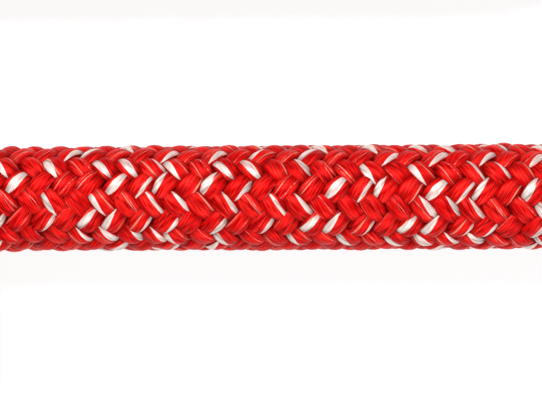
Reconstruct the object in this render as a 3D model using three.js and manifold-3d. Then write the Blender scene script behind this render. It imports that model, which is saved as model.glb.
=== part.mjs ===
// A braided lead rope with a swivel bolt snap. The rope runs straight away from its clamp along +X,
// and the rest of it is wound into a flat hank behind. Millimetres, +Z up, everything lies on z = 0.
import * as THREE from "three";
import { mergeVertices } from "three/addons/utils/BufferGeometryUtils.js";
import Module from "manifold-3d";

const wasm = await Module();
wasm.setup();

// Driving dimensions
const ROPE_R = 8; // the rope's radius
const CORE_R = 5; // the straight fibre core inside the braided cover
const COVER_BORE_R = 5.3;
const GAP = 0.3; // clearance between pieces that touch

const BAR_X = 25.56; // the eye's bar, round which the rope is looped
const LOOP_R = 12.5; // the loop's centreline round the bar
const LOOP_Z = 14.3;
const LEG_Y = 8.3; // the rope's two legs on each side of the clamp
const CLAMPED_Y = 6.9; // the same legs squeezed inside the clamp
const CLAMPED_R = 5.8;
const CLAMP_X = BAR_X + 28;
const CLAMP_LENGTH = 26;
const CLAMP_HALF_HEIGHT = 8;
const CLAMP_WALL = 1.8;
const SHORT_END = 4.5; // how far the short leg stands out of the clamp
const SEAL = 1.2; // thickness of a melted end

const FIRST_BEND_X = 174; // end of the straight run
const CORNER_R = 41; // the outermost turn's two corners
const HANK_LEFT = 17.4; // centres of the hank's round ends
const HANK_RIGHT = 157.4;
const HANK_MID_Y = 98.3; // the left end's centre
const RIGHT_MID_Y = 90; // the inner right end's centre
const PITCH = 16.6; // from one lane to the next
const NEAR_Y = LEG_Y + 41; // the hank's nearest lane
const FAR_Y = LEG_Y + 139; // its furthest lane
const LAYER_1 = 2 * ROPE_R;
const GROOVE_Z = 22.4; // the upper lane lies in the groove between the two lower ones
const LAYER_OVERLAP = 1; // how far the upper lane reaches down into the lower ones
const UPPER_START_X = 127.4; // the upper lane's start
const TAIL = 15; // upper lane's bare end before its whipping
const WHIPPING = 36;
const TAIL_R = 6.7; // the tail squeezed by its whipping
const TAIL_Z = 24.4;

const TIE_X = 88;
const TIE_WIDTH = 14;
const TIE_WALL = 1.1;
const TIE_INNER_R = ROPE_R + 0.4;
const TIE_RISE = 14.4; // from the lower lanes' middles to the upper one's

const SNAP_TILT = THREE.MathUtils.degToRad(6.55); // the snap leans from its tall eye down to its hook
const EYE_Z = 15.78; // the bar's middle
const EYE_WINDOW_R = 9.9;
const EYE_ARM = 4.5;
const EYE_THICK = 5.8;
const EYE_ROUND_X = -12.4; // centre of the window's round end
const BAR_R = 2.9;
const SWIVEL_X = -29; // the body's end face, turning on the eye's stem
const COLLAR_R = 6.5;
const STEM_R = 2.5;
const CAGE = { back: -41.5, front: -34.5, half: 4.7 }; // the window where the stem's head turns
const BOLT_Y = 6.6;
const BOLT_R = 3.2;
const BORE_R = 3.5;
const BARREL_R = 6;
const BARREL_BACK = -42;
const BARREL_MOUTH = -76;
const BORE_END = -44;
const SPRING_LENGTH = 15.9;
const BOLT_BACK = BORE_END - GAP - SPRING_LENGTH - GAP;
const BOLT_TIP = -87.7;
const STUD_X = -65;
const BOLT_TRAVEL = 9.5;
const SLOT_HALF = 1.9; // half the width of the slot that the stud slides in
const SPRING = { turns: 6, wire: 0.4, coil: 2.4 };
const HOOK = { x: -95.5, y: -3.5, ring: 13, wire: 3.4 };
const HOOK_TIP_X = -88;

const LOOKS = {
  red: { color: 0xd01418, roughness: 0.6, metalness: 0 },
  core: { color: 0xe9e4dc, roughness: 0.8, metalness: 0 },
  melted: { color: 0x8c1014, roughness: 0.4, metalness: 0 },
  twine: { color: 0xb01216, roughness: 0.8, metalness: 0 },
  strap: { color: 0x1b1b1d, roughness: 0.8, metalness: 0 },
  nickel: { color: 0xc8c6c0, roughness: 0.22, metalness: 1 },
  steel: { color: 0x9a9a9a, roughness: 0.35, metalness: 1 },
};

const rope = new THREE.Group();
const snap = new THREE.Group();
snap.position.set(BAR_X, 0, EYE_Z);
snap.rotation.y = -SNAP_TILT;
rope.add(snap);

function add(parent, name, geometry, look) {
  const mesh = new THREE.Mesh(geometry, new THREE.MeshStandardMaterial(LOOKS[look]));
  mesh.name = name;
  parent.add(mesh);
  return mesh;
}

// Booleans

function solid(geometry) {
  const plain = geometry.index ? geometry.toNonIndexed() : geometry.clone();
  plain.deleteAttribute("normal");
  plain.deleteAttribute("uv");
  const merged = mergeVertices(plain, 1e-3);
  return new wasm.Manifold(
    new wasm.Mesh({
      numProp: 3,
      vertProperties: merged.attributes.position.array,
      triVerts: new Uint32Array(merged.index.array),
    }),
  );
}

function geometryOf(manifold) {
  const mesh = manifold.getMesh();
  const geometry = new THREE.BufferGeometry();
  geometry.setAttribute("position", new THREE.BufferAttribute(mesh.vertProperties, 3));
  geometry.setIndex(new THREE.BufferAttribute(mesh.triVerts, 1));
  const flat = geometry.toNonIndexed();
  flat.computeVertexNormals();
  return flat;
}

const join = (...geometries) => geometries.map(solid).reduce((whole, piece) => whole.add(piece));
const cut = (whole, ...tools) => tools.map(solid).reduce((rest, tool) => rest.subtract(tool), whole);

// Basic shapes

function disc(radius, sides, y = 0, z = 0) {
  const points = [];
  for (let i = 0; i < sides; i++) {
    const angle = (2 * Math.PI * (i + 0.5)) / sides;
    points.push(new THREE.Vector2(y + radius * Math.cos(angle), z + radius * Math.sin(angle)));
  }
  return points;
}

// A section drawn in Y and Z, drawn out from x to x + length
function alongX(shape, x, length, curveSegments = 12) {
  const basis = new THREE.Matrix4().makeBasis(
    new THREE.Vector3(0, 1, 0),
    new THREE.Vector3(0, 0, 1),
    new THREE.Vector3(1, 0, 0),
  );
  return new THREE.ExtrudeGeometry(shape, { depth: length, bevelEnabled: false, curveSegments })
    .applyMatrix4(basis)
    .translate(x, 0, 0);
}

function alongZ(shape, z, height, curveSegments = 20) {
  const options = { depth: height, bevelEnabled: false, curveSegments };
  return new THREE.ExtrudeGeometry(shape, options).translate(0, 0, z);
}

function rodX(radius, from, to, y = 0, z = 0, sides = 24) {
  return alongX(new THREE.Shape(disc(radius, sides, y, z)), from, to - from);
}

function block(x0, x1, y0, y1, z0, z1) {
  const box = new THREE.BoxGeometry(x1 - x0, y1 - y0, z1 - z0);
  return box.translate((x0 + x1) / 2, (y0 + y1) / 2, (z0 + z1) / 2);
}

function sweep(points, radius, steps, sides = 12) {
  const path = new THREE.CatmullRomCurve3(points, false, "centripetal");
  const section = new THREE.Shape(disc(radius, sides));
  return new THREE.ExtrudeGeometry(section, { extrudePath: path, steps, bevelEnabled: false });
}

// A profile of [distance along, radius] pairs turned about a line parallel to X
function turnedX(profile, y = 0, sides = 24) {
  const points = profile.map(([x, r]) => new THREE.Vector2(r, x));
  return new THREE.LatheGeometry(points, sides).rotateZ(-Math.PI / 2).translate(0, y, 0);
}

// A profile of [height, radius] pairs turned about a line parallel to Z
function turnedZ(profile, x, y, sides = 20) {
  const points = profile.map(([z, r]) => new THREE.Vector2(r, z));
  return new THREE.LatheGeometry(points, sides).rotateX(Math.PI / 2).translate(x, y, 0);
}

// Rope

function leadCover() {
  const section = new THREE.Shape(disc(ROPE_R, 12, LEG_Y, ROPE_R));
  section.holes.push(new THREE.Path(disc(COVER_BORE_R, 12, LEG_Y, ROPE_R)));
  const start = CLAMP_X + CLAMP_LENGTH + GAP;
  return alongX(section, start, FIRST_BEND_X - GAP - start);
}

function leadCore() {
  const start = CLAMP_X + CLAMP_LENGTH + GAP;
  return rodX(CORE_R, start, FIRST_BEND_X - GAP, LEG_Y, ROPE_R, 12);
}

// The rope squeezed inside the clamp, round the bar and back
function eyeLoop() {
  const points = [
    new THREE.Vector3(CLAMP_X - 0.8, 8.15, ROPE_R),
    new THREE.Vector3(CLAMP_X - 3.5, 8.2, ROPE_R + 0.1),
    new THREE.Vector3(CLAMP_X - 10, 9.3, 10.9),
    new THREE.Vector3(CLAMP_X - 17, 11.4, 13.6),
    new THREE.Vector3(CLAMP_X - 22, 12.3, LOOP_Z),
  ];
  for (let degrees = 75; degrees >= -75; degrees -= 15) {
    const angle = THREE.MathUtils.degToRad(degrees);
    const x = BAR_X - LOOP_R * Math.cos(angle);
    points.push(new THREE.Vector3(x, LOOP_R * Math.sin(angle), LOOP_Z));
  }
  const back = points.slice(0, 5).reverse();
  points.push(...back.map((p) => new THREE.Vector3(p.x, -p.y, p.z)));
  const inClamp = [CLAMP_X - 2, CLAMP_X + CLAMP_LENGTH];
  const longLeg = rodX(CLAMPED_R, ...inClamp, CLAMPED_Y, ROPE_R, 12);
  const shortLeg = rodX(CLAMPED_R, inClamp[0], inClamp[1] + 1, -CLAMPED_Y, ROPE_R, 12);
  const end = rodX(ROPE_R, inClamp[1] + GAP, inClamp[1] + SHORT_END, -LEG_Y, ROPE_R, 12);
  return geometryOf(join(sweep(points, ROPE_R, 40), longLeg, shortLeg, end));
}

function shortEndSeal() {
  const start = CLAMP_X + CLAMP_LENGTH + SHORT_END + GAP;
  return rodX(ROPE_R - 0.5, start, start + SEAL, -LEG_Y, ROPE_R, 16);
}

// The hank's lower layer: the outermost turn with its two corners, and the two lanes inside it
function hankOutline() {
  const half = PITCH / 2;
  const outline = new THREE.Shape();
  outline.moveTo(HANK_LEFT, NEAR_Y - half);
  outline.lineTo(HANK_RIGHT, NEAR_Y - half);
  outline.absarc(HANK_RIGHT, RIGHT_MID_Y, RIGHT_MID_Y - NEAR_Y + half, -Math.PI / 2, Math.PI / 2, false);
  outline.lineTo(FIRST_BEND_X, FAR_Y - half);
  outline.absarc(FIRST_BEND_X, FAR_Y - CORNER_R, CORNER_R - half, Math.PI / 2, 0, true);
  outline.absarc(FIRST_BEND_X, LEG_Y + CORNER_R, CORNER_R - half, 0, -Math.PI / 2, true);
  outline.lineTo(FIRST_BEND_X, LEG_Y - half);
  outline.absarc(FIRST_BEND_X, LEG_Y + CORNER_R, CORNER_R + half, -Math.PI / 2, 0, false);
  outline.absarc(FIRST_BEND_X, FAR_Y - CORNER_R, CORNER_R + half, 0, Math.PI / 2, false);
  outline.absarc(HANK_LEFT, HANK_MID_Y, FAR_Y - HANK_MID_Y + half, Math.PI / 2, (3 * Math.PI) / 2, false);
  const hole = new THREE.Path();
  const nearEdge = NEAR_Y + PITCH + half;
  const farEdge = FAR_Y - PITCH - half;
  hole.moveTo(HANK_LEFT, nearEdge);
  hole.lineTo(HANK_RIGHT, nearEdge);
  hole.lineTo(HANK_RIGHT, NEAR_Y + half);
  hole.absarc(HANK_RIGHT, RIGHT_MID_Y, RIGHT_MID_Y - NEAR_Y - half, -Math.PI / 2, Math.PI / 2, false);
  hole.lineTo(HANK_LEFT, farEdge);
  hole.absarc(HANK_LEFT, HANK_MID_Y, farEdge - HANK_MID_Y, Math.PI / 2, (3 * Math.PI) / 2, false);
  outline.holes.push(hole);
  return outline;
}

// The upper lane: from the inner near lane over the right end, along the far groove and round the left end
function upperLaneOutline() {
  const half = PITCH / 2;
  const start = NEAR_Y + PITCH;
  const near = NEAR_Y + half;
  const far = FAR_Y - half;
  const rightR = (far - start) / 2;
  const leftR = (far - near) / 2;
  const end = HANK_LEFT + TAIL - GAP;
  const outline = new THREE.Shape();
  outline.moveTo(UPPER_START_X, start - half);
  outline.absarc(HANK_RIGHT, start + rightR, rightR + half, -Math.PI / 2, Math.PI / 2, false);
  outline.absarc(HANK_LEFT, near + leftR, leftR + half, Math.PI / 2, (3 * Math.PI) / 2, false);
  outline.lineTo(end, near - half);
  outline.lineTo(end, near + half);
  outline.absarc(HANK_LEFT, near + leftR, leftR - half, (3 * Math.PI) / 2, Math.PI / 2, true);
  outline.absarc(HANK_RIGHT, start + rightR, rightR - half, Math.PI / 2, -Math.PI / 2, true);
  outline.lineTo(UPPER_START_X, start + half);
  return outline;
}

// A strap's outline round the two far lanes and the one on top of them
function bundleOutline(radius) {
  const lift = TIE_INNER_R + TIE_WALL;
  const shape = new THREE.Shape();
  const top = FAR_Y - PITCH / 2;
  shape.absarc(FAR_Y, lift, radius, -Math.PI / 2, Math.PI / 6, false);
  shape.absarc(top, lift + TIE_RISE, radius, Math.PI / 6, (5 * Math.PI) / 6, false);
  shape.absarc(FAR_Y - PITCH, lift, radius, (5 * Math.PI) / 6, (3 * Math.PI) / 2, false);
  return shape;
}

function strap(inner, outer, extra) {
  const shape = bundleOutline(outer);
  shape.holes.push(new THREE.Path(bundleOutline(inner).getPoints(8)));
  return alongX(shape, TIE_X - TIE_WIDTH / 2 - extra, TIE_WIDTH + 2 * extra, 8);
}

function coil() {
  const lower = alongZ(hankOutline(), 0, LAYER_1);
  const bottom = LAYER_1 - LAYER_OVERLAP;
  const upper = alongZ(upperLaneOutline(), bottom, GROOVE_Z + ROPE_R - bottom);
  return geometryOf(cut(join(lower, upper), strap(TIE_INNER_R - GAP, TIE_INNER_R + TIE_WALL + 9, GAP)));
}

function tieStrap() {
  return strap(TIE_INNER_R, TIE_INNER_R + TIE_WALL, 0);
}

function tailEnd() {
  const y = NEAR_Y + PITCH / 2;
  const start = HANK_LEFT + TAIL;
  return rodX(TAIL_R, start, start + WHIPPING, y, TAIL_Z, 12);
}

function tailWhipping() {
  const y = NEAR_Y + PITCH / 2;
  const section = new THREE.Shape(disc(ROPE_R, 24, y, TAIL_Z));
  section.holes.push(new THREE.Path(disc(TAIL_R + GAP, 24, y, TAIL_Z)));
  return alongX(section, HANK_LEFT + TAIL + 1, WHIPPING - 4);
}

function tailSeal() {
  const start = HANK_LEFT + TAIL + WHIPPING + GAP;
  const profile = [
    [start, 0],
    [start, TAIL_R - 0.1],
    [start + SEAL, TAIL_R - 0.6],
    [start + SEAL + 0.6, 0],
  ];
  return turnedX(profile, NEAR_Y + PITCH / 2, 20).translate(0, 0, TAIL_Z);
}

// Clamp: a flat tube pressed round both legs of the rope
function ferrule() {
  const outline = (radius) => {
    const shape = new THREE.Shape();
    shape.absarc(CLAMPED_Y, CLAMP_HALF_HEIGHT, radius, -Math.PI / 2, Math.PI / 2, false);
    shape.absarc(-CLAMPED_Y, CLAMP_HALF_HEIGHT, radius, Math.PI / 2, (3 * Math.PI) / 2, false);
    return shape;
  };
  const shape = outline(CLAMP_HALF_HEIGHT);
  shape.holes.push(new THREE.Path(outline(CLAMP_HALF_HEIGHT - CLAMP_WALL).getPoints(12)));
  return alongX(shape, CLAMP_X, CLAMP_LENGTH);
}

// Snap, in its own frame: the bar's middle at the origin, the hook along -X, the hook's plane in X and Y

function eyeOutline(radius, bar) {
  const shape = new THREE.Shape();
  const corner = radius / 3;
  shape.moveTo(bar, 0);
  shape.lineTo(bar, radius - corner);
  shape.quadraticCurveTo(bar, radius, bar - corner, radius);
  shape.absarc(EYE_ROUND_X, 0, radius, Math.PI / 2, (3 * Math.PI) / 2, false);
  shape.lineTo(bar - corner, -radius);
  shape.quadraticCurveTo(bar, -radius, bar, corner - radius);
  return shape;
}

function swivelEye() {
  const shape = eyeOutline(EYE_WINDOW_R + EYE_ARM, BAR_R);
  shape.holes.push(new THREE.Path(eyeOutline(EYE_WINDOW_R, -BAR_R).getPoints(8)));
  const options = { depth: EYE_THICK, bevelEnabled: false, curveSegments: 10 };
  const ring = new THREE.ExtrudeGeometry(shape, options)
    .rotateX(Math.PI / 2)
    .translate(0, EYE_THICK / 2, 0);
  const shoulder = turnedX([
    [SWIVEL_X - 9.1, 0],
    [SWIVEL_X - 9.1, 3.2],
    [SWIVEL_X - 8.2, 4.1],
    [SWIVEL_X - 6.1, 4.2],
    [SWIVEL_X - 6.1, STEM_R],
    [SWIVEL_X + 0.5, STEM_R],
    [SWIVEL_X + 0.5, 5.2],
    [SWIVEL_X + 2.6, 5.2],
    [SWIVEL_X + 5, 3.2],
    [SWIVEL_X + 5, 0],
  ]);
  return geometryOf(join(ring, shoulder));
}

function hookPoints() {
  const points = [
    new THREE.Vector3(-57, 4, 0),
    new THREE.Vector3(-66, 1.2, 0),
    new THREE.Vector3(-76, -5.2, 0),
  ];
  for (let degrees = -50; degrees >= -310; degrees -= 20) {
    const angle = THREE.MathUtils.degToRad(degrees);
    points.push(
      new THREE.Vector3(HOOK.x + HOOK.ring * Math.cos(angle), HOOK.y + HOOK.ring * Math.sin(angle), 0),
    );
  }
  return points;
}

// Swivel cage, barrel and hook in one casting
function snapBody() {
  const neck = turnedX([
    [BARREL_BACK - 4, 0],
    [BARREL_BACK - 4, COLLAR_R - 1],
    [BARREL_BACK - 2, COLLAR_R],
    [SWIVEL_X - 1, COLLAR_R],
    [SWIVEL_X, COLLAR_R - 1],
    [SWIVEL_X, 0],
  ]);
  const barrel = turnedX(
    [
      [BARREL_MOUTH, 0],
      [BARREL_MOUTH, BARREL_R - 0.8],
      [BARREL_MOUTH + 0.8, BARREL_R],
      [BARREL_BACK - 1.5, BARREL_R],
      [BARREL_BACK, BARREL_R - 1.5],
      [BARREL_BACK, 0],
    ],
    BOLT_Y,
  );
  const cage = block(CAGE.back, CAGE.front, -CAGE.half, CAGE.half, -8, 8);
  const stemHole = rodX(STEM_R + GAP, CAGE.front - 1.5, SWIVEL_X + 9);
  const bore = rodX(BORE_R, BARREL_MOUTH - 1, BORE_END, BOLT_Y);
  const slot = block(STUD_X - 2, STUD_X + BOLT_TRAVEL + 2, BOLT_Y - SLOT_HALF, BOLT_Y + SLOT_HALF, 0, 8);
  const tipFace = block(HOOK_TIP_X, HOOK_TIP_X + 20, BOLT_Y - 5, BOLT_Y + 14, -8, 8);
  const inner = HOOK.ring - HOOK.wire;
  const seat = block(HOOK.x - inner - 0.45, HOOK.x - inner + 1.5, HOOK.y - 3.2, HOOK.y + 3.2, -5, 5);
  const hook = cut(solid(sweep(hookPoints(), HOOK.wire, 46)), tipFace, seat);
  return geometryOf(cut(hook.add(join(neck, barrel)), cage, stemHole, bore, slot));
}

function bolt() {
  const body = turnedX(
    [
      [BOLT_TIP, 0],
      [BOLT_TIP, BOLT_R - 0.9],
      [BOLT_TIP + 0.9, BOLT_R],
      [BOLT_BACK - 0.5, BOLT_R],
      [BOLT_BACK, BOLT_R - 0.5],
      [BOLT_BACK, 0],
    ],
    BOLT_Y,
  );
  const studHole = turnedZ(
    [
      [-1.5, 0],
      [-1.5, 1.6],
      [6, 1.6],
      [6, 0],
    ],
    STUD_X,
    BOLT_Y,
  );
  return geometryOf(cut(solid(body), studHole));
}

function thumbStud() {
  const profile = [
    [-1.2, 0],
    [-1.2, 1.3],
    [6.6, 1.3],
    [6.8, 3.6],
    [8.4, 4],
    [9.8, 3],
    [10.4, 0],
  ];
  return turnedZ(profile, STUD_X, BOLT_Y);
}

function boltSpring() {
  const { turns, wire, coil: radius } = SPRING;
  const points = [];
  for (let i = 0; i <= turns * 10; i++) {
    const angle = (2 * Math.PI * i) / 10;
    const x = BORE_END - GAP - wire - ((SPRING_LENGTH - 2 * wire) * i) / (turns * 10);
    points.push(new THREE.Vector3(x, BOLT_Y + radius * Math.cos(angle), radius * Math.sin(angle)));
  }
  return sweep(points, wire, turns * 14, 6);
}

add(rope, "rope_lead_cover", leadCover(), "red");
add(rope, "rope_lead_core", leadCore(), "core");
add(rope, "rope_coil", coil(), "red");
add(rope, "rope_tail", tailEnd(), "red");
add(rope, "tail_whipping", tailWhipping(), "twine");
add(rope, "tail_seal", tailSeal(), "melted");
add(rope, "tie_strap", tieStrap(), "strap");
add(rope, "rope_eye_loop", eyeLoop(), "red");
add(rope, "short_end_seal", shortEndSeal(), "melted");
add(rope, "ferrule", ferrule(), "nickel");
add(snap, "swivel_eye", swivelEye(), "nickel");
add(snap, "snap_body", snapBody(), "nickel");
add(snap, "bolt", bolt(), "steel");
add(snap, "thumb_stud", thumbStud(), "nickel");
add(snap, "bolt_spring", boltSpring(), "steel");

export default rope;
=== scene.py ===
# A braided lead rope with a swivel bolt snap, seen from above on a pale table.
import math

import bmesh
import bpy
import numpy as np
from mathutils import Euler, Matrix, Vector


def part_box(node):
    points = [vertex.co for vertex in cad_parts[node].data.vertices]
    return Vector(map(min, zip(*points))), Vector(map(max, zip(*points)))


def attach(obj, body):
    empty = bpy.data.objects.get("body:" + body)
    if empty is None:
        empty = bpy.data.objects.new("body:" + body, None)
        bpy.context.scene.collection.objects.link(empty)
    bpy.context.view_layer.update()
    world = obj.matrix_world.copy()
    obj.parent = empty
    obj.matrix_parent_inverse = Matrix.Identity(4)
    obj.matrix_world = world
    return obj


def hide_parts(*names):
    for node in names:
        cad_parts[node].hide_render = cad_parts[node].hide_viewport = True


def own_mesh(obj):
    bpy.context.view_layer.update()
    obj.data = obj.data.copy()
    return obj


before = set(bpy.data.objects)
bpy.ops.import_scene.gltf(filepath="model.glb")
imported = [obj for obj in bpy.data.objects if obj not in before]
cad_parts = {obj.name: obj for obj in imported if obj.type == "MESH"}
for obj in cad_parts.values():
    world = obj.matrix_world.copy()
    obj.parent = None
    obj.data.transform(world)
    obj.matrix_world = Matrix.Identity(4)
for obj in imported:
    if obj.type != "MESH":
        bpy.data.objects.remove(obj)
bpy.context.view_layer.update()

MM = 0.001

# The rope, in metres
ROPE_D = 16 * MM
ROPE_R = ROPE_D / 2
ROWS = 16  # rows of stitches round the rope, every second one leaning the other way
STRANDS = 16  # strands in each direction
PITCH = 0.2285 * ROPE_D  # from one stitch to the next along a row
ROW_ANGLE = 2 * math.pi / ROWS
DRIFT = math.radians(-3.0) / ROPE_D  # how far the whole braid turns along the rope
PHASE = math.radians(11.2)  # where the rows of stitches lie round the rope
STRAND_HALF_WIDTH = 1.7 * MM
STRAND_HALF_THICK = 1.2 * MM
PROUD = 0.06 * MM  # how far a strand's top stands out of the rope's radius
WAVE = 1.05 * MM  # how far a strand dives under the others
KINK = math.radians(3.8)  # how much steeper a strand runs while it shows
CELLS = 24  # stitches of one strand in one tile of its pattern
YARN_TURNS = 8  # turns of the yarns inside a strand over one tile
FILAMENT_TURNS = -6  # turns of the filaments, which are spun the other way
YARNS = 4  # round lobes in a strand's section
LOBE = 0.1  # how deep the grooves between them are, as a share of the strand

# The route, repeated from the CAD model
LEG_Y = 8.3 * MM
MOUTH_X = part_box("ferrule")[1].x
FIRST_BEND_X = 174 * MM
CORNER_R = 41 * MM
HANK_LEFT = 17.4 * MM
HANK_RIGHT = 157.4 * MM
HANK_MID_Y = 98.3 * MM
RIGHT_MID_Y = 90 * MM
LANE = 16.6 * MM
NEAR_Y = LEG_Y + 41 * MM
FAR_Y = LEG_Y + 139 * MM
GROOVE_Z = 22.4 * MM
TAIL_Z = GROOVE_Z + 2 * MM
BARE_TAIL = 15 * MM
WHIPPING = 36 * MM
TAIL_END_X = HANK_LEFT + BARE_TAIL + WHIPPING
TIE_X = 88 * MM
TIE_WALL = 1.1 * MM
TIE_WIDTH = 14 * MM
TIE_INNER_R = ROPE_R + 0.4 * MM
TIE_RISE = 14.4 * MM  # from the two lower lanes' middles to the upper one's
TIE_REACH = 22 * MM  # how far from the tie the lanes start to lift over it
CLIMB = 62 * MM  # length over which the rope climbs to the upper layer, up to the right end
CLIMB_Z = 18.5 * MM  # its height at the right end
CREST_Z = 24.2 * MM  # its highest point, across the lower lanes
CLAMPED_Y = 6.9 * MM  # the two legs inside the clamp
EXIT_Y = 7.2 * MM  # the long leg in the clamp's mouth
BAR_X = 25.56 * MM  # the eye's bar
LOOP_R = 12.5 * MM
LOOP_Z = 14.3 * MM

# The snap leans down from its eye to its hook: its own X axis in the row frame, and its bore's inner end
SNAP_AXIS = np.array([0.99347, 0, 0.11407])
BORE_INNER = np.array([-18.45 * MM, 6.6 * MM, 10.73 * MM])

# Looks
UV_LENGTH = 24 * MM  # rope length that one tile of the plain pieces' patterns covers
RED = (0.7, 0.0, 0.001)
# deep and bright red: partly the filaments' own tone, partly painted shade between them and painted highlight
# on them
RED_DEEP_AND_SHADE = (0.2, 0.0, 0.0)
RED_BRIGHT_AND_HIGHLIGHT = (0.97, 0.025, 0.018)
WHITE_YARN = (0.82, 0.66, 0.6)
# bright and shaded white: partly the yarn's own tone, partly painted highlight and painted shade along its
# filaments
WHITE_BRIGHT_AND_HIGHLIGHT = (0.95, 0.86, 0.8)
WHITE_SHADE = (0.6, 0.3, 0.27)
PINK_YARN = (0.9, 0.28, 0.2)
NICKEL_COLOUR = (0.74, 0.72, 0.68)
STEEL_COLOUR = (0.55, 0.55, 0.56)
WEBBING_COLOUR = (0.024, 0.024, 0.028)

# Camera: straight above the middle of the straight run
VIEW_X = 130.5 * MM
VIEW_WIDTH = 82.2 * MM
CAMERA_RISE = 300 * MM
CAMERA_LENS = 100
ROPE_ABOVE_MIDDLE = 0.35 * MM  # the rope lies a little above the middle of the frame
YAW = math.radians(3.0)
ROLL = math.radians(-0.23)


def make_camera():
    data = bpy.data.cameras.new("camera")
    data.lens = CAMERA_LENS
    data.sensor_width = VIEW_WIDTH / CAMERA_RISE * CAMERA_LENS
    camera = bpy.data.objects.new("camera", data)
    bpy.context.collection.objects.link(camera)
    target = Vector((VIEW_X, LEG_Y - ROPE_ABOVE_MIDDLE, ROPE_R))
    turn = Euler((0, YAW, ROLL)).to_matrix()
    camera.location = target + turn @ Vector((0, 0, CAMERA_RISE))
    camera.rotation_euler = turn.to_euler()
    data.clip_start = 0.01
    data.clip_end = 20
    bpy.context.scene.camera = camera


make_camera()


# ---------------------------------------------------------------- the rope's route


def line(x0, y0, x1, y1, z0, z1, step=2 * MM):
    n = max(2, round(math.hypot(x1 - x0, y1 - y0) / step))
    t = np.arange(n) / n
    return np.stack([x0 + (x1 - x0) * t, y0 + (y1 - y0) * t, z0 + (z1 - z0) * t], 1)


def arc(x, y, radius, start, end, z0, z1, step=2 * MM):
    n = max(2, round(abs(math.radians(end - start)) * radius / step))
    t = np.arange(n) / n
    angle = np.radians(start + (end - start) * t)
    return np.stack([x + radius * np.cos(angle), y + radius * np.sin(angle), z0 + (z1 - z0) * t], 1)


def smoothed(points, times):
    for _ in range(times):
        points = points.copy()
        points[1:-1] = (points[:-2] + 2 * points[1:-1] + points[2:]) / 4
    return points


def spaced(points, step):
    gone = np.concatenate([[0], np.cumsum(np.linalg.norm(np.diff(points, axis=0), axis=1))])
    at = np.linspace(0, gone[-1], max(2, round(gone[-1] / step)) + 1)
    return np.stack([np.interp(at, gone, points[:, k]) for k in range(3)], 1)


def lead_route():
    low, high = ROPE_R, GROOVE_Z
    far_groove, near_groove = FAR_Y - LANE / 2, NEAR_Y + LANE / 2
    inner_near, inner_far = NEAR_Y + LANE, FAR_Y - LANE
    climb_r = (far_groove - inner_near) / 2
    lift = TIE_INNER_R + TIE_WALL
    by_hand = np.array(
        [
            (MOUTH_X - 3 * MM, 7.0 * MM, low),
            (MOUTH_X, EXIT_Y, low),
            (MOUTH_X + 3 * MM, 7.7 * MM, low),
            (MOUTH_X + 6 * MM, 8.1 * MM, low),
            (MOUTH_X + 9 * MM, LEG_Y, low),
        ]
    )
    tie_a, tie_b, tie_c = TIE_X + TIE_REACH, TIE_X, TIE_X - TIE_REACH
    climb_x = HANK_RIGHT - CLIMB
    climb_y = inner_near + climb_r
    right_x = FIRST_BEND_X + CORNER_R
    tail_x = HANK_LEFT + BARE_TAIL
    parts = [
        by_hand,
        line(MOUTH_X + 11 * MM, LEG_Y, FIRST_BEND_X, LEG_Y, low, low),
        arc(FIRST_BEND_X, LEG_Y + CORNER_R, CORNER_R, -90, 0, low, low),
        line(right_x, LEG_Y + CORNER_R, right_x, FAR_Y - CORNER_R, low, low),
        arc(FIRST_BEND_X, FAR_Y - CORNER_R, CORNER_R, 0, 90, low, low),
        line(FIRST_BEND_X, FAR_Y, tie_a, FAR_Y, low, low),
        line(tie_a, FAR_Y, tie_b, FAR_Y, low, lift),
        line(tie_b, FAR_Y, tie_c, FAR_Y, lift, low),
        line(tie_c, FAR_Y, HANK_LEFT, FAR_Y, low, low),
        arc(HANK_LEFT, HANK_MID_Y, FAR_Y - HANK_MID_Y, 90, 270, low, low),
        line(HANK_LEFT, NEAR_Y, HANK_RIGHT, NEAR_Y, low, low),
        arc(HANK_RIGHT, RIGHT_MID_Y, RIGHT_MID_Y - NEAR_Y, -90, 90, low, low),
        line(HANK_RIGHT, inner_far, tie_a, inner_far, low, low),
        line(tie_a, inner_far, tie_b, inner_far, low, lift),
        line(tie_b, inner_far, tie_c, inner_far, lift, low),
        line(tie_c, inner_far, HANK_LEFT, inner_far, low, low),
        arc(HANK_LEFT, HANK_MID_Y, inner_far - HANK_MID_Y, 90, 270, low, low),
        line(HANK_LEFT, inner_near, climb_x, inner_near, low, low),
        line(climb_x, inner_near, HANK_RIGHT, inner_near, low, CLIMB_Z),
        arc(HANK_RIGHT, climb_y, climb_r, -90, -40, CLIMB_Z, CREST_Z),
        arc(HANK_RIGHT, climb_y, climb_r, -40, 60, CREST_Z, CREST_Z),
        arc(HANK_RIGHT, climb_y, climb_r, 60, 90, CREST_Z, high),
        line(HANK_RIGHT, far_groove, tie_a, far_groove, high, high),
        line(tie_a, far_groove, tie_b, far_groove, high, high + 1.2 * MM),
        line(tie_b, far_groove, tie_c, far_groove, high + 1.2 * MM, high),
        line(tie_c, far_groove, HANK_LEFT, far_groove, high, high),
        arc(HANK_LEFT, HANK_MID_Y, far_groove - HANK_MID_Y, 90, 270, high, high + 1 * MM),
        line(HANK_LEFT, near_groove, tail_x, near_groove, high + 1 * MM, TAIL_Z),
        line(tail_x, near_groove, TAIL_END_X, near_groove, TAIL_Z, TAIL_Z),
        np.array([(TAIL_END_X, near_groove, TAIL_Z)]),
    ]
    points = spaced(np.concatenate(parts), 2 * MM)
    return spaced(smoothed(points, 12), 2 * MM)


# ---------------------------------------------------------------- the braid


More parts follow.
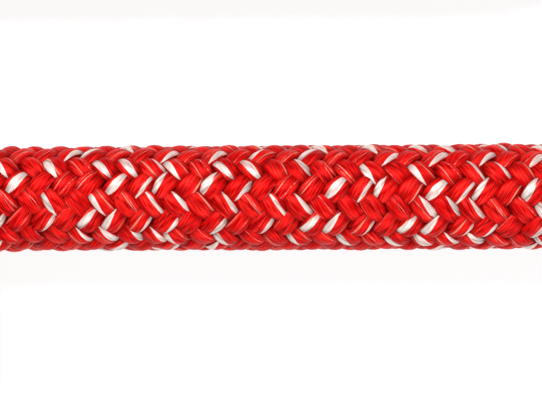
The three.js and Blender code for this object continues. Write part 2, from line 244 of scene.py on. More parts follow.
class Route:
    """A centreline with a frame at any distance along it: a point, the way sideways and the way up."""

    def __init__(self, points):
        self.points = points
        steps = np.linalg.norm(np.diff(points, axis=0), axis=1)
        self.gone = np.concatenate([[0], np.cumsum(steps)])
        self.length = self.gone[-1]
        along = np.gradient(points, axis=0)
        self.along = along / np.linalg.norm(along, axis=1, keepdims=True)

    def frame(self, s):
        point = np.stack([np.interp(s, self.gone, self.points[:, k]) for k in range(3)], -1)
        beyond = np.maximum(s - self.length, 0) + np.minimum(s, 0)
        along = np.stack([np.interp(s, self.gone, self.along[:, k]) for k in range(3)], -1)
        along /= np.linalg.norm(along, axis=-1, keepdims=True)
        point = point + along * beyond[..., None]
        side = np.cross(along, np.array([0.0, 0.0, 1.0]))
        side /= np.linalg.norm(side, axis=-1, keepdims=True)
        up = np.cross(side, along)
        return point, along, side, up


def ripple(s, seed, size):
    """A slow random wave along the rope, the same on every run."""
    rng = np.random.default_rng(seed)
    total = np.zeros_like(s)
    for k in range(4):
        height = rng.uniform(0.4, 1)
        length = rng.uniform(6, 26) * MM
        total += height * np.sin(2 * math.pi * s / length + rng.uniform(0, 6.28))
    return size * total / 2


def strand_rings(route, way, index, s, sides, squeeze):
    """The section rings of one strand at the distances s. way is +1 or -1 for the two directions."""
    seed = 1000 + index * 2 + (way > 0)
    shift = ripple(s, seed, 0.09)
    turn = way * (s / PITCH + shift) * ROW_ANGLE
    local = index * 2 * math.pi / STRANDS + turn + (0 if way > 0 else ROW_ANGLE / 2)
    swing = way * ROWS / 2 * local  # 0 to pi while the strand shows, pi to 2 pi while it is under others
    phi = local - way * KINK * np.cos(swing) + DRIFT * s + PHASE + ripple(s, seed + 200, math.radians(0.8))
    over = np.sin(swing)
    stitch = swing / (2 * math.pi) + 0.25
    v = (stitch + (5 * index + index // 3 if way > 0 else 7 * index + index // 4)) / CELLS
    fat = 1 + ripple(s, seed + 500, 0.08)
    grow = squeeze(s)
    wander = ripple(s, seed + 900, 0.05 * MM)
    radius = (ROPE_R + PROUD - STRAND_HALF_THICK - WAVE + WAVE * over + wander) * grow
    point, _, side, up = route.frame(s)
    out = np.cos(phi)[:, None] * side + np.sin(phi)[:, None] * up
    centre = point + out * radius[:, None]
    go = np.gradient(centre, axis=0)
    go /= np.linalg.norm(go, axis=1, keepdims=True)
    wide = np.cross(go, out)
    wide /= np.linalg.norm(wide, axis=1, keepdims=True)
    high = np.cross(wide, go)
    u = np.arange(sides) / sides
    angle = 2 * math.pi * u
    seen = u if way > 0 else 0.5 - u
    yarn = seen[None, :] + YARN_TURNS * v[:, None]
    lobes = 1 + LOBE * (np.abs(np.sin(math.pi * YARNS * yarn)) - 0.64)
    blunt_cos = np.sign(np.cos(angle)) * np.abs(np.cos(angle)) ** 0.92
    pinch = 1.02 - 0.3 * (1 - over)  # narrower where it dives
    a = (STRAND_HALF_WIDTH * fat * pinch * grow)[:, None] * lobes * blunt_cos[None, :]
    b = (STRAND_HALF_THICK * (2 - fat) * grow)[:, None] * lobes * np.sin(angle)[None, :]
    rings = centre[:, None, :] + a[..., None] * wide[:, None, :] + b[..., None] * high[:, None, :]
    return rings, v


def grid_faces(rows, columns, loop):
    """Quads between rings of points, in order, as the numbers of their corners."""
    i = np.arange(rows if loop else rows - 1)[:, None]
    j = np.arange(columns)[None, :]
    below, above = i * columns, (i + 1) % rows * columns
    k = (j + 1) % columns
    return np.stack([below + j, below + k, above + k, above + j], -1).reshape(-1, 4)


class Builder:
    """Gathers tubes of quads with UVs into one mesh."""

    def __init__(self):
        self.points, self.quads, self.uvs, self.slots = [], [], [], []
        self.count = 0

    def tube(self, rings, v, material=0, mirror=False, loop=False):
        """u goes round the tube, backwards if mirror is set, and v along it.

        The ends are closed, or joined to each other if loop is set."""
        rows, columns = rings.shape[:2]
        quads = grid_faces(rows, columns, loop)
        i, j = np.divmod(quads, columns)
        left = j[:, :1] / columns
        across = np.array([0, 1, 1, 0])[None, :] / columns
        uu = 0.5 - left - across if mirror else left + across
        uu -= np.floor(uu.min(1, keepdims=True) + 1e-6)
        vv = v[i]
        vv = vv - np.floor(vv.min(1, keepdims=True))
        uv = np.stack([uu, vv], -1)
        # rings that run clockwise would turn the faces inwards
        spokes = rings[0] - rings[0].mean(0)
        area = np.cross(spokes, np.roll(spokes, -1, 0)).sum(0)
        flip = float(area @ (rings[1].mean(0) - rings[0].mean(0))) < 0
        if flip:
            quads, uv = quads[:, ::-1], uv[:, ::-1]
        self.points.append(rings.reshape(-1, 3))
        self.quads.append(quads + self.count)
        self.uvs.append(uv)
        self.slots.append(np.full(len(quads), material))
        first = self.count
        self.count += rows * columns
        if not loop:
            for row in (0, rows - 1):
                self.cap(rings[row], row == 0, first + row * columns, material, flip)

    def cap(self, ring, first, base, material, flip):
        """Closes a tube's end with quads to its middle, for an even number of sides."""
        n = len(ring)
        middle = self.count
        self.points.append(ring.mean(0, keepdims=True))
        self.count += 1
        quads = np.array([(base + k, middle, base + (k + 2) % n, base + k + 1) for k in range(0, n, 2)])
        if not first:
            quads = quads[:, ::-1]
        if flip:
            quads = quads[:, ::-1]
        self.quads.append(quads)
        self.uvs.append(np.full((len(quads), 4, 2), 0.25))
        self.slots.append(np.full(len(quads), material))

    def finish(self, name, materials):
        mesh = bpy.data.meshes.new(name)
        points = np.concatenate(self.points)
        quads = np.concatenate(self.quads)
        mesh.vertices.add(len(points))
        mesh.vertices.foreach_set("co", points.astype(np.float32).ravel())
        mesh.loops.add(quads.size)
        mesh.loops.foreach_set("vertex_index", quads.astype(np.int32).ravel())
        mesh.polygons.add(len(quads))
        mesh.polygons.foreach_set("loop_start", (np.arange(len(quads)) * 4).astype(np.int32))
        mesh.polygons.foreach_set("material_index", np.concatenate(self.slots).astype(np.int32))
        layer = mesh.uv_layers.new(name="OFBake")
        layer.data.foreach_set("uv", np.concatenate(self.uvs).astype(np.float32).ravel())
        mesh.update(calc_edges=True)
        mesh.validate()
        mesh.shade_smooth()
        for material in materials:
            mesh.materials.append(material)
        piece = bpy.data.objects.new(name, mesh)
        bpy.context.collection.objects.link(piece)
        return piece


def braid(builder, route, start, end, step, sides, squeeze):
    s = np.linspace(start, end, max(3, round((end - start) / step)))
    for way in (1, -1):
        for index in range(STRANDS):
            rings, v = strand_rings(route, way, index, s, sides, squeeze)
            builder.tube(rings, v, mirror=way < 0)


def painted_shade_tube(builder, route, start, end, step, radius, squeeze):
    """A dark red tube under the strands: painted shade standing for the braid's shadowed inner face."""
    s = np.linspace(start, end, max(3, round((end - start) / step)))
    point, _, side, up = route.frame(s)
    u = np.arange(16) / 16
    angle = 2 * math.pi * u
    out = np.cos(angle)[None, :, None] * side[:, None, :] + np.sin(angle)[None, :, None] * up[:, None, :]
    rings = point[:, None, :] + out * (radius * squeeze(s))[:, None, None]
    builder.tube(rings, s / UV_LENGTH, 1)


# ---------------------------------------------------------------- materials


def node_material(name):
    material = bpy.data.materials.new(name)
    material.use_nodes = True
    tree = material.node_tree
    return material, tree, tree.nodes["Principled BSDF"]


def add_node(tree, kind, inputs=(), **settings):
    node = tree.nodes.new(kind)
    for key, value in settings.items():
        setattr(node, key, value)
    for key, value in dict(inputs).items():
        if isinstance(value, bpy.types.NodeSocket):
            tree.links.new(value, node.inputs[key])
        else:
            node.inputs[key].default_value = value
    return node


def maths(tree, operation, a, b=0.0, c=None):
    inputs = {0: a, 1: b}
    if c is not None:
        inputs[2] = c
    return add_node(tree, "ShaderNodeMath", inputs, operation=operation).outputs[0]


def ramp(tree, value, stops):
    node = add_node(tree, "ShaderNodeValToRGB", {0: value})
    elements = node.color_ramp.elements
    while len(elements) < len(stops):
        elements.new(0.5)
    for element, (position, colour) in zip(elements, stops):
        element.position = position
        element.color = (*colour, 1)
    return node.outputs[0]


def grey(value):
    return (value, value, value)


def mix(tree, factor, a, b):
    inputs = {"Factor": factor, 6: a if isinstance(a, bpy.types.NodeSocket) else (*a, 1)}
    inputs[7] = b if isinstance(b, bpy.types.NodeSocket) else (*b, 1)
    return add_node(tree, "ShaderNodeMix", inputs, data_type="RGBA").outputs[2]


def circle_noise(tree, a, b, radius_a, radius_b, detail, roughness):
    """Noise of two coordinates that both repeat after 1, with 2 pi radius features round each."""
    point = []
    for x, radius in ((a, radius_a), (b, radius_b)):
        angle = maths(tree, "MULTIPLY", x, 2 * math.pi)
        point += [maths(tree, "MULTIPLY", maths(tree, way, angle), radius) for way in ("COSINE", "SINE")]
    vector = add_node(tree, "ShaderNodeCombineXYZ", {k: point[k] for k in range(3)}).outputs[0]
    inputs = {"Vector": vector, "W": point[3], "Scale": 1.0, "Detail": detail, "Roughness": roughness}
    return add_node(tree, "ShaderNodeTexNoise", inputs, noise_dimensions="4D").outputs[0]


def lens(tree, across, along, cell, seed, chance, widths, spread, wobble):
    """1 on a tapered streak of yarn in some of the stitches, 0 elsewhere.

    across is 0 along the middle of the stitch and along is 0 at its centre, 1 at its ends."""
    inputs = {"W": maths(tree, "ADD", maths(tree, "MODULO", cell, CELLS), seed)}
    random = add_node(tree, "ShaderNodeTexWhiteNoise", inputs, noise_dimensions="1D").outputs["Color"]
    r = add_node(tree, "ShaderNodeSeparateXYZ", {0: random}).outputs
    side = maths(tree, "MULTIPLY_ADD", r[0], 2 * spread, -spread)
    lean = maths(tree, "MULTIPLY_ADD", r[2], 0.07, -0.02)
    off = maths(tree, "SUBTRACT", maths(tree, "SUBTRACT", across, side), maths(tree, "MULTIPLY", lean, along))
    off = maths(tree, "ABSOLUTE", maths(tree, "ADD", off, wobble))
    late = maths(tree, "MULTIPLY_ADD", along, 1.2, maths(tree, "MULTIPLY_ADD", r[0], 0.9, -0.45))
    taper = maths(tree, "SUBTRACT", 1.0, maths(tree, "POWER", maths(tree, "ABSOLUTE", late), 2.0))
    there = maths(tree, "LESS_THAN", r[1], chance)
    grown = maths(tree, "MULTIPLY_ADD", maths(tree, "FRACT", maths(tree, "MULTIPLY", r[1], 37.0)),
                  widths[1] - widths[0], widths[0])
    width = maths(tree, "MULTIPLY", maths(tree, "MULTIPLY", grown, taper), there)
    inside = maths(tree, "SUBTRACT", width, off)
    return add_node(tree, "ShaderNodeMapRange", {0: inside, 1: -0.004, 2: 0.006, 3: 0.0, 4: 1.0}).outputs[0]


def braid_material():
    """Bright filaments as a function of a strand's UV: u runs round the strand, v along it."""
    material, tree, shader = node_material("braided_yarn")
    uv = add_node(tree, "ShaderNodeUVMap", uv_map="OFBake").outputs[0]
    parts = add_node(tree, "ShaderNodeSeparateXYZ", {0: uv})
    u, v = parts.outputs[0], parts.outputs[1]
    turned = maths(tree, "MULTIPLY_ADD", v, YARN_TURNS, u)
    spun = maths(tree, "MULTIPLY_ADD", v, FILAMENT_TURNS, u)
    filaments = circle_noise(tree, spun, v, 15.0, 12.0, 2.0, 0.6)
    coarse = circle_noise(tree, turned, v, 3.0, 10.0, 1.0, 0.5)
    cells = maths(tree, "MULTIPLY", v, CELLS)
    cell = maths(tree, "FLOOR", cells)
    along = maths(tree, "MULTIPLY_ADD", maths(tree, "FRACT", cells), 4.0, -2.0)
    across = maths(tree, "SUBTRACT", maths(tree, "FRACT", maths(tree, "ADD", u, 0.25)), 0.5)
    frayed = maths(tree, "MULTIPLY_ADD", filaments, 0.03, -0.015)

    streaks = maths(tree, "MULTIPLY_ADD", coarse, 0.4, maths(tree, "MULTIPLY", filaments, 0.8))
    groove = maths(tree, "ABSOLUTE", maths(tree, "SINE", maths(tree, "MULTIPLY", turned, math.pi * YARNS)))
    # the ramps run from painted shade between filaments to painted highlight on them, over the yarn's own
    # streaky tone
    red = ramp(tree, streaks, [(0.45, RED_DEEP_AND_SHADE), (0.58, RED), (0.72, RED_BRIGHT_AND_HIGHLIGHT)])
    pale = ramp(tree, streaks, [(0.42, WHITE_SHADE), (0.56, WHITE_YARN), (0.72, WHITE_BRIGHT_AND_HIGHLIGHT)])
    thin = lens(tree, across, along, cell, 300.5, 0.6, (0.006, 0.015), 0.16, frayed)
    wide = lens(tree, across, along, cell, 100.5, 0.57, (0.024, 0.074), 0.14, frayed)
    colour = mix(tree, maths(tree, "MULTIPLY", thin, 0.8), red, PINK_YARN)
    colour = mix(tree, wide, colour, pale)
    # painted shade where strands meet: darker at a stitch's ends, along its sides and between its yarns
    to_end = maths(tree, "MULTIPLY", maths(tree, "ABSOLUTE", along), 0.5)
    ends = ramp(tree, to_end, [(0.14, grey(1)), (0.46, grey(0.06))])
    sides = ramp(tree, maths(tree, "ABSOLUTE", across), [(0.11, grey(1)), (0.2, grey(0.25))])
    grooves = ramp(tree, groove, [(0.0, grey(0.55)), (0.3, grey(1))])
    for shade in (ends, sides, grooves):
        colour = add_node(tree, "ShaderNodeMix", {"Factor": 1.0, 6: colour, 7: shade},
                          data_type="RGBA", blend_type="MULTIPLY").outputs[2]
    tree.links.new(colour, shader.inputs["Base Color"])
    rough = maths(tree, "MULTIPLY_ADD", filaments, 0.3, 0.3)
    tree.links.new(rough, shader.inputs["Roughness"])
    bump = add_node(tree, "ShaderNodeBump", {"Height": filaments, "Strength": 0.8, "Distance": 0.00012})
    tree.links.new(bump.outputs[0], shader.inputs["Normal"])
    shader.inputs["Specular IOR Level"].default_value = 0.08
    shader.inputs["Metallic"].default_value = 0.35
    return material


# painted shade: a near-black red for the shadow inside the braid, seen through the gaps between strands
def painted_shade_material():
    material, tree, shader = node_material("braid_painted_shade")
    noise = add_node(tree, "ShaderNodeTexNoise", {"Scale": 900.0, "Detail": 2.0}).outputs[0]
    colour = ramp(tree, noise, [(0.3, (0.05, 0, 0)), (0.7, (0.22, 0.002, 0.003))])
    tree.links.new(colour, shader.inputs["Base Color"])
    shader.inputs["Roughness"].default_value = 0.8
    return material


def metal_material(name, colour, low, high):
    material, tree, shader = node_material(name)
    place = add_node(tree, "ShaderNodeTexCoord").outputs["Object"]
    broad = add_node(tree, "ShaderNodeTexNoise", {"Vector": place, "Scale": 120.0, "Detail": 4.0}).outputs[0]
    stretched = add_node(tree, "ShaderNodeMapping", {"Vector": place, "Scale": (60, 900, 900)}).outputs[0]
    fine = {"Vector": stretched, "Scale": 1.0, "Detail": 4.0}
    scratches = add_node(tree, "ShaderNodeTexNoise", fine).outputs[0]
    darker = tuple(0.72 * c for c in colour)
    tree.links.new(ramp(tree, broad, [(0.35, darker), (0.6, colour)]), shader.inputs["Base Color"])
    blend = maths(tree, "MULTIPLY", maths(tree, "ADD", broad, scratches), 0.5)
    rough = maths(tree, "MULTIPLY_ADD", blend, high - low, low)
    tree.links.new(rough, shader.inputs["Roughness"])
    bump = add_node(tree, "ShaderNodeBump", {"Height": scratches, "Strength": 0.05, "Distance": 0.0001})
    tree.links.new(bump.outputs[0], shader.inputs["Normal"])
    shader.inputs["Metallic"].default_value = 1.0
    return material


def woven_material(name, colour, across, along):
    """Webbing: threads that cross over and under each other, counted round and along one tile of UV."""
    material, tree, shader = node_material(name)
    uv = add_node(tree, "ShaderNodeUVMap", uv_map="OFBake").outputs[0]
    parts = add_node(tree, "ShaderNodeSeparateXYZ", {0: uv})
    waves = [maths(tree, "SINE", maths(tree, "MULTIPLY", socket, 2 * math.pi * count))
             for socket, count in ((parts.outputs[0], across), (parts.outputs[1], along))]
    weave = maths(tree, "MULTIPLY_ADD", maths(tree, "MULTIPLY", waves[0], waves[1]), 0.5, 0.5)
    place = add_node(tree, "ShaderNodeTexCoord").outputs["Object"]
    fuzz = add_node(tree, "ShaderNodeTexNoise", {"Vector": place, "Scale": 2500.0, "Detail": 3.0}).outputs[0]
    both = maths(tree, "MULTIPLY_ADD", weave, 0.6, maths(tree, "MULTIPLY", fuzz, 0.4))
    lighter = tuple(2.2 * c + 0.012 for c in colour)
    darker = tuple(0.25 * c for c in colour)
    tree.links.new(ramp(tree, both, [(0.25, darker), (0.75, lighter)]), shader.inputs["Base Color"])
    rough = maths(tree, "MULTIPLY_ADD", fuzz, 0.3, 0.55)
    tree.links.new(rough, shader.inputs["Roughness"])
    bump = add_node(tree, "ShaderNodeBump", {"Height": both, "Strength": 0.7, "Distance": 0.0002})
    tree.links.new(bump.outputs[0], shader.inputs["Normal"])
    return material


def fibre_material(name, dark, light):
    material, tree, shader = node_material(name)
    place = add_node(tree, "ShaderNodeTexCoord").outputs["Object"]
    noise = add_node(tree, "ShaderNodeTexNoise", {"Vector": place, "Scale": 1500.0, "Detail": 3.0}).outputs[0]
    tree.links.new(ramp(tree, noise, [(0.3, dark), (0.7, light)]), shader.inputs["Base Color"])
    rough = maths(tree, "MULTIPLY_ADD", noise, 0.4, 0.35)
    tree.links.new(rough, shader.inputs["Roughness"])
    bump = add_node(tree, "ShaderNodeBump", {"Height": noise, "Strength": 0.4, "Distance": 0.0002})
    tree.links.new(bump.outputs[0], shader.inputs["Normal"])
    return material


YARN = braid_material()
PAINTED_SHADE = painted_shade_material()
NICKEL = metal_material("nickel", NICKEL_COLOUR, 0.17, 0.38)
STEEL = metal_material("steel", STEEL_COLOUR, 0.2, 0.45)
WEBBING = woven_material("webbing", WEBBING_COLOUR, 22, 30)
TWINE = fibre_material("twine", (0.2, 0.004, 0.006), (0.6, 0.02, 0.02))
MELTED = fibre_material("melted_fibre", (0.12, 0.002, 0.003), (0.5, 0.02, 0.02))
CORE = fibre_material("core_fibre", (0.55, 0.5, 0.44), (0.9, 0.86, 0.8))


# ---------------------------------------------------------------- pieces of rope

lead = Route(lead_route())
FINE_END = 106 * MM  # the end of what the camera sees, where the strands get coarser
# radius of the tube of painted shade under the strands
PAINTED_SHADE_R = 5.9 * MM


def settle(piece, slot, *nodes):
    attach(piece, "rope")
    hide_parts(*nodes)
    return piece


def lead_squeeze(s):
    """The rope is pressed thin in the clamp's mouth and under its whipping."""
    mouth = 0.8 + 0.2 * np.clip(s / (10 * MM), 0, 1) ** 0.7
    tail = 1 - 0.13 * np.clip((s - (lead.length - 38 * MM)) / (4 * MM), 0, 1)
    return mouth * tail


def make_lead():
    builder = Builder()
    braid(builder, lead, 0, FINE_END, 0.3 * MM, 32, lead_squeeze)
    braid(builder, lead, FINE_END - 0.5 * MM, lead.length, 1.0 * MM, 8, lead_squeeze)
    # a dark tube of painted shade under the strands, along the whole rope
    painted_shade_tube(builder, lead, 0, lead.length, 2 * MM, PAINTED_SHADE_R, lead_squeeze)
    piece = builder.finish("rope_braid", [YARN, PAINTED_SHADE])
    return settle(piece, "braid", "rope_lead_cover", "rope_coil", "rope_tail")


def make_core():
    """Straight fibres inside the braid: a bundle of yarns side by side."""
    builder = Builder()
    s = np.linspace(1 * MM, lead.length - 1 * MM, round(lead.length / (4 * MM)))
    point, _, side, up = lead.frame(s)
    squeeze = lead_squeeze(s)[:, None]
    u = np.arange(8) / 8
    for ring_radius, count, yarn_radius in ((0.0, 1, 1.4 * MM), (2.9 * MM, 6, 1.45 * MM)):
        for k in range(count):
            angle = 2 * math.pi * k / count
            middle = point + squeeze * ring_radius * (math.cos(angle) * side + math.sin(angle) * up)
            turn = 2 * math.pi * u
            out = np.cos(turn)[None, :, None] * side[:, None, :] + np.sin(turn)[None, :, None] * up[:, None, :]
            rings = middle[:, None, :] + out * (yarn_radius * squeeze)[..., None]
            builder.tube(rings, s / UV_LENGTH)
    return settle(builder.finish("rope_core", [CORE]), "core_fibre", "rope_lead_core")


def around_x(centre, x, radius, angle):
    """Points at distance x along the X axis from centre, and radius from that axis."""
    x, radius, angle = np.broadcast_arrays(x, radius, angle)
    return np.stack([centre[0] + x, centre[1] + radius * np.cos(angle), centre[2] + radius * np.sin(angle)], -1)


def make_seal(name, node, radius, seed):
    """A rope's cut end, melted into a lumpy button."""
    low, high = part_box(node)
    centre = (low + high) / 2
    centre.x = low.x
    thick = high.x - low.x + 0.7 * MM
    # reach along the rope as a share of the thickness, and radius as a share of the full one
    profile = np.array(
        [(-0.95, 0.3), (-0.9, 0.8), (-0.5, 0.93), (0.0, 0.99), (0.4, 1.0), (0.75, 0.96)]
        + [(0.95, 0.86), (1.0, 0.7), (0.95, 0.5), (0.86, 0.3), (0.82, 0.12)]
    )
    angle = np.linspace(0, 2 * math.pi, 48, endpoint=False)[None, :]
    rng = np.random.default_rng(seed)
    lumps = 0
    for k in (2, 3, 5, 8, 13):
        lumps = lumps + rng.uniform(0.3, 1) * np.cos(k * angle + rng.uniform(0, 6.28)) / k**0.5
    reach, out = profile[:, :1], profile[:, 1:]
    x = thick * (reach + 0.06 * lumps * out * np.cos(3 * out))
    rings = around_x(centre, x, radius * out * (1 + 0.018 * lumps), angle)
    builder = Builder()
    builder.tube(rings, np.linspace(0, 0.9, len(profile)))
    return settle(builder.finish(name, [MELTED]), "melted_fibre", node)


def make_whipping():
    """Waxed twine wound tightly round the rope, turn beside turn, its ends tucked under."""
    low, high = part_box("tail_whipping")
    centre = (low + high) / 2
    centre.x = low.x
    thick, turns = 0.56 * MM, 30
    pitch = (high.x - low.x - 2 * thick) / turns
    s = np.linspace(0, turns, turns * 36)
    angle = 2 * math.pi * s
    tuck = np.clip(np.minimum(s, turns - s) / 0.25, 0, 1)
    radius = ROPE_R - 1.15 * thick - 1.2 * thick * (1 - tuck) + ripple(s * 9 * MM, 71, 0.04 * MM)
    x = thick + pitch * s + ripple(s * 5 * MM, 72, 0.05 * MM)
    middle = around_x(centre, x, radius, angle)
    out = around_x((0, 0, 0), 0, 1, angle)
    section = np.linspace(0, 2 * math.pi, 10, endpoint=False)
    wide = np.array([1.0, 0, 0]) * (np.cos(section) * pitch * 0.53)[None, :, None]
    rings = middle[:, None, :] + wide + out[:, None, :] * (np.sin(section) * thick)[None, :, None]
    builder = Builder()
    builder.tube(rings, s / 2)
    return settle(builder.finish("twine_whipping", [TWINE]), "twine", "tail_whipping")


def make_tie():
    """A webbing tie round three runs of the hank, its free end laid over on top."""
    inner, wall = TIE_INNER_R, TIE_WALL
    lift = inner + wall
    low_far, low_near = (FAR_Y, lift), (FAR_Y - LANE, lift)
    top = (FAR_Y - LANE / 2, lift + TIE_RISE)
    arcs = (
        (top, 58, 150, False),
        (low_near, 150, 270, False),
        (low_far, 270, 390, False),
        (top, 30, 52, False),
        (top, 52, 140, True),
    )
    points, normals = [], []
    for (y, z), start, end, over in arcs:
        angle = np.radians(np.linspace(start, end, 14))
        lap = np.clip((np.degrees(angle) - 52) / 16, 0, 1) if over else 0 * angle
        normal = np.stack([0 * angle, np.cos(angle), np.sin(angle)], -1)
        radius = inner + wall / 2 + lap * (wall + 0.1 * MM)
        points.append(np.array([TIE_X, y, z]) + normal * radius[:, None])
        normals.append(normal)
    points, normals = np.concatenate(points), np.concatenate(normals)
    gone = np.concatenate([[0], np.cumsum(np.linalg.norm(np.diff(points, axis=0), axis=1))])
    keep = np.concatenate([[True], np.diff(gone) > 1e-5])
    points, normals, gone = points[keep], normals[keep], gone[keep]
    at = np.linspace(0, gone[-1], round(gone[-1] / (0.5 * MM)))
    points = np.stack([np.interp(at, gone, points[:, k]) for k in range(3)], 1)
    normals = np.stack([np.interp(at, gone, normals[:, k]) for k in range(3)], 1)
    normals /= np.linalg.norm(normals, axis=1, keepdims=True)
    # a flat band with ribs along it and bound edges
    across = np.linspace(-1, 1, 57)
    edge = np.sqrt(np.clip(1 - np.abs(across) ** 14, 0, 1))
    rib = 0.05 * MM * np.cos(across * math.pi * 14) * (np.abs(across) < 0.9)
    weft = 0.035 * MM * np.cos(2 * math.pi * at / (1.0 * MM))[:, None] * np.sign(np.cos(across * math.pi * 14))
    half = (wall / 2 * (0.35 + 0.65 * edge) + rib)[None, :] + weft
    sideways = np.array([1.0, 0, 0]) * (across * TIE_WIDTH / 2)[None, :, None]
    upper = points[:, None, :] + normals[:, None, :] * half[..., None] + sideways
    lower = points[:, None, :] - normals[:, None, :] * half[..., None] + sideways
    rings = np.concatenate([upper, lower[:, ::-1]], 1)
    builder = Builder()
    builder.tube(rings, at / UV_LENGTH)
    return settle(builder.finish("webbing_tie", [WEBBING]), "webbing", "tie_strap")


def make_clamp():
    """The sleeve: a flat tube with rounded lips, pressed in two lines across its upper side."""
    low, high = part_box("ferrule")
    wall, lip = 1.8 * MM, 0.6 * MM
    middle_z, half_y = (low.z + high.z) / 2, (high.y - low.y) / 2
    tall = (high.z - low.z) / 2
    straight = half_y - tall
    n = 96
    total = 4 * straight + 2 * math.pi * tall
    along = np.arange(n) / n * total
    y, z, out_y, out_z = (np.zeros(n) for _ in range(4))
    for k, at in enumerate(along):
        side = 1 if at < total / 2 else -1
        at %= total / 2
        if at < math.pi * tall:
            angle = at / tall - math.pi / 2
            y[k], z[k] = side * straight, 0
            out_y[k], out_z[k] = side * math.cos(angle), side * math.sin(angle)
        else:
            y[k], z[k] = side * (straight - (at - math.pi * tall)), 0
            out_y[k], out_z[k] = 0, side
    angle = np.radians(np.arange(0, 91, 15))
    left = [(lip - lip * math.cos(a), lip * (1 - math.sin(a))) for a in angle]
    body = [(x, 0) for x in np.linspace(1.2 * MM, high.x - low.x - 1.2 * MM, 60)]
    right = [(high.x - low.x - x, drop) for x, drop in reversed(left)]
    outer = left + body + right
    inner = [(x, wall - drop) for x, drop in reversed(outer[1:-1]) if drop < lip / 2]
    centre = (high.x - low.x) / 2
    rings = []
    for x, drop in outer + inner:
        press = sum(math.exp(-(((x - centre - k) / (2.4 * MM)) ** 2)) for k in (-6 * MM, 6 * MM))
        fade = np.clip((straight + 3 * MM - np.abs(y)) / (3 * MM), 0, 1)
        dent = 0.4 * MM * press * np.clip(out_z, 0, 1) ** 3 * fade
        reach = tall - drop - dent
        rings.append(np.stack([np.full(n, low.x + x), y + out_y * reach, middle_z + z + out_z * reach], -1))
    builder = Builder()
    builder.tube(np.array(rings), np.linspace(0, 1, len(rings)), loop=True)
    return settle(builder.finish("crimped_sleeve", [NICKEL]), "nickel", "ferrule")


rope_braid = make_lead()
rope_core = make_core()
on_rope = [
    rope_core,
    make_whipping(),
    make_seal("tail_button", "tail_seal", 6.9 * MM, 5),
    make_tie(),
]

make_clamp()
make_seal("short_end_button", "short_end_seal", 7.5 * MM, 9)


# ---------------------------------------------------------------- the loop round the eye

def loop_route():
    clamp_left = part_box("ferrule")[0].x
    half = [
        (MOUTH_X - 1 * MM, CLAMPED_Y, ROPE_R),
        (clamp_left + 20 * MM, CLAMPED_Y, ROPE_R),
        (clamp_left + 12 * MM, CLAMPED_Y, ROPE_R),
        (clamp_left + 4 * MM, CLAMPED_Y, ROPE_R),
        (clamp_left - 1 * MM, 7.4 * MM, 8.0 * MM),
        (clamp_left - 6 * MM, 8.4 * MM, 8.8 * MM),
        (clamp_left - 11 * MM, 9.6 * MM, 11.2 * MM),
        (clamp_left - 17 * MM, 11.4 * MM, 13.6 * MM),
        (clamp_left - 22 * MM, 12.3 * MM, LOOP_Z),
    ]
    turn = [
        (BAR_X - LOOP_R * math.cos(math.radians(d)), LOOP_R * math.sin(math.radians(d)), LOOP_Z)
        for d in range(80, -81, -10)
    ]
    back = [(x, -y, z) for x, y, z in reversed(half[1:])]
    end = [(MOUTH_X, -7.1 * MM, ROPE_R), (MOUTH_X + 4.3 * MM, -8.0 * MM, ROPE_R)]
    points = np.array(half + turn + back + end)
    return spaced(smoothed(spaced(points, 1 * MM), 10), 1 * MM)


def make_loop():
    route = Route(loop_route())
    clamp_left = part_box("ferrule")[0].x

    def squeeze(s):
        x = route.frame(s)[0][:, 0]
        inside = np.clip((x - clamp_left + 5 * MM) / (7 * MM), 0, 1)
        out = np.clip((x - MOUTH_X + 1 * MM) / (4 * MM), 0, 1)
        return 1 - 0.27 * (inside - out * 0.9)

    builder = Builder()
    braid(builder, route, 0, route.length, 0.5 * MM, 12, squeeze)
    # a dark tube of painted shade under the loop's strands
    painted_shade_tube(builder, route, 0, route.length, 1 * MM, PAINTED_SHADE_R, squeeze)
    settle(builder.finish("rope_loop_braid", [YARN, PAINTED_SHADE]), "braid", "rope_eye_loop")


make_loop()


# ---------------------------------------------------------------- the CAD pieces that stay


def dress(node, material, voxel, smooth):
    """Gives a CAD node its material, and rounds its edges a little as casting and plating do."""
    piece = bpy.data.objects[node]
    piece.data.materials.clear()
    piece.data.materials.append(material)
    remesh = piece.modifiers.new("remesh", "REMESH")
    remesh.mode = "VOXEL"
    remesh.voxel_size = voxel
    remesh.use_smooth_shade = True
    relax = piece.modifiers.new("relax", "SMOOTH")
    relax.factor = 0.5
    relax.iterations = smooth


def make_spring():
    """A compression spring with closed ends, which shortens as the bolt comes back."""
    length, turns, wire, coil = 15.9 * MM, 8, 0.4 * MM, 2.4 * MM
    s = np.linspace(0, turns, turns * 36)
    lift = np.clip((s - 0.8) / (turns - 1.6), 0, 1)
    closed = np.minimum(s, 0.8) + np.maximum(s - turns + 0.8, 0)
    reach = wire + closed * 2.05 * wire + lift * (length - 2 * wire - 1.6 * 2.05 * wire)
    side, up = np.array([0, 1.0, 0]), np.array([-SNAP_AXIS[2], 0, SNAP_AXIS[0]])
    out = np.cos(2 * math.pi * s)[:, None] * side + np.sin(2 * math.pi * s)[:, None] * up
    middle = BORE_INNER - reach[:, None] * SNAP_AXIS + coil * out
    section = np.linspace(0, 2 * math.pi, 10, endpoint=False)
    outward = wire * np.cos(section)[None, :, None] * out[:, None, :]
    rings = middle[:, None, :] + outward + wire * np.sin(section)[None, :, None] * SNAP_AXIS
    builder = Builder()
    builder.tube(rings, s / turns)
    piece = builder.finish("return_spring", [STEEL])
    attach(piece, "hook")
    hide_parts("bolt_spring")
    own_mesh(piece)


make_spring()
dress("swivel_eye", NICKEL, 0.35 * MM, 6)
dress("snap_body", NICKEL, 0.35 * MM, 5)
dress("bolt", STEEL, 0.25 * MM, 3)
dress("thumb_stud", NICKEL, 0.2 * MM, 4)


# ---------------------------------------------------------------- table, backdrop and light


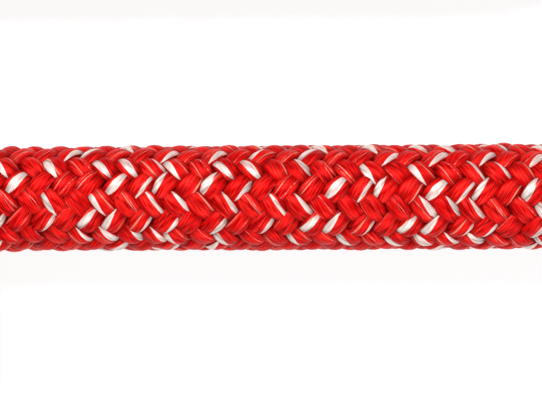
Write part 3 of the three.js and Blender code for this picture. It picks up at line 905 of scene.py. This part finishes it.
def make_table():
    mesh = bpy.data.meshes.new("table")
    builder = bmesh.new()
    bmesh.ops.create_grid(builder, x_segments=1, y_segments=1, size=12)
    builder.to_mesh(mesh)
    builder.free()
    table = bpy.data.objects.new("table", mesh)
    bpy.context.collection.objects.link(table)
    table.location.z = -0.1 * MM
    material, _, shader = node_material("table")
    shader.inputs["Base Color"].default_value = (0.22, 0.22, 0.22, 1)
    shader.inputs["Roughness"].default_value = 0.9
    shader.inputs["Specular IOR Level"].default_value = 0.0
    shader.inputs["Emission Color"].default_value = (1, 1, 1, 1)
    shader.inputs["Emission Strength"].default_value = 0.86
    mesh.materials.append(material)
    table.visible_diffuse = False


def make_backdrop():
    """A white dome that only the camera sees, so that it adds no light."""
    mesh = bpy.data.meshes.new("backdrop")
    builder = bmesh.new()
    bmesh.ops.create_uvsphere(builder, u_segments=48, v_segments=24, radius=11)
    builder.to_mesh(mesh)
    builder.free()
    dome = bpy.data.objects.new("backdrop", mesh)
    bpy.context.collection.objects.link(dome)
    material, _, shader = node_material("backdrop")
    shader.inputs["Base Color"].default_value = (0, 0, 0, 1)
    shader.inputs["Specular IOR Level"].default_value = 0.0
    shader.inputs["Emission Color"].default_value = (1, 1, 1, 1)
    shader.inputs["Emission Strength"].default_value = 1.0
    mesh.materials.append(material)
    dome.visible_diffuse = False
    dome.visible_glossy = False
    dome.visible_shadow = False


def area_light(name, location, target, size, power):
    data = bpy.data.lights.new(name, "AREA")
    data.shape = "DISK"
    data.size = size
    data.energy = power
    light = bpy.data.objects.new(name, data)
    light.location = location
    light.rotation_euler = (Vector(target) - Vector(location)).to_track_quat("-Z", "Y").to_euler()
    bpy.context.collection.objects.link(light)


def make_light():
    world = bpy.data.worlds.new("studio")
    bpy.context.scene.world = world
    world.use_nodes = True
    background = world.node_tree.nodes["Background"]
    background.inputs["Color"].default_value = (1, 1, 1, 1)
    background.inputs["Strength"].default_value = 0.26
    middle = (VIEW_X, LEG_Y, 0)
    area_light("key", (VIEW_X - 0.25, LEG_Y + 0.62, 1.0), middle, 0.25, 14.2)
    area_light("fill", (VIEW_X + 0.3, LEG_Y - 0.9, 0.6), middle, 0.6, 7.2)
    bpy.context.scene.view_settings.view_transform = "Standard"


make_table()
make_backdrop()
make_light()
